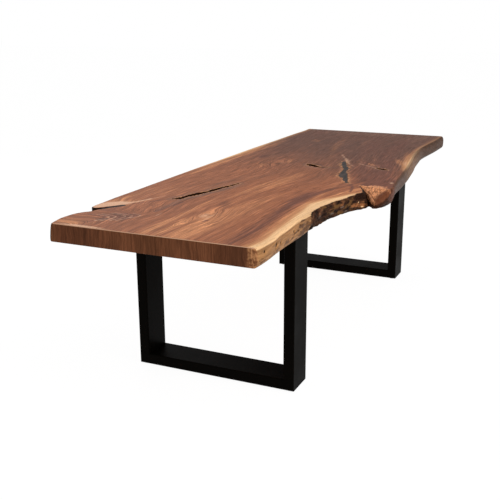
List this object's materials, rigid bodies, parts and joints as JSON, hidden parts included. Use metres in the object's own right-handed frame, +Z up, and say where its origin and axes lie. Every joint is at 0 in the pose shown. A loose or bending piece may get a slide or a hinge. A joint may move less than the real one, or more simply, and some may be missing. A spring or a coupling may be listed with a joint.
{
  "type": "live-edge plank dining table",
  "caption": "Dining table: a thick live-edge walnut slab, with a knot, resin-filled void and open cracks, bolted to black rectangular-tube hoop legs.",
  "frame": {"origin": "on the floor, under the middle of the table's bounding box", "axes": "+X along the table from the end nearest the picture's camera to the far end, +Y across it towards the straighter natural edge, away from the knot, +Z up"},
  "size_m": [2.75, 1.0258, 0.75],
  "materials": {
    "walnut": "oiled satin walnut, pale sapwood along the natural edges",
    "resin": "dark grey resin, sanded level with the top",
    "powder_coat": "fine satin black powder coat",
    "zinc_steel": "zinc-plated steel",
    "brass": "plain turned brass",
    "glide_plastic": "hard black plastic"
  },
  "bodies": {
    "root": {"live_edge_slab": "walnut", "knot_void_resin": "resin", "left_leg_front_upright": "powder_coat", "left_leg_rear_upright": "powder_coat", "left_leg_floor_rail": "powder_coat", "left_leg_top_plate": "powder_coat", "left_leg_plate_welds": "powder_coat", "left_leg_bolts": "zinc_steel", "left_leg_washers": "zinc_steel", "left_leg_inserts": "brass", "left_leg_glides": "glide_plastic", "right_leg_front_upright": "powder_coat", "right_leg_rear_upright": "powder_coat", "right_leg_floor_rail": "powder_coat", "right_leg_top_plate": "powder_coat", "right_leg_plate_welds": "powder_coat", "right_leg_bolts": "zinc_steel", "right_leg_washers": "zinc_steel", "right_leg_inserts": "brass", "right_leg_glides": "glide_plastic"}
  },
  "joints": []
}
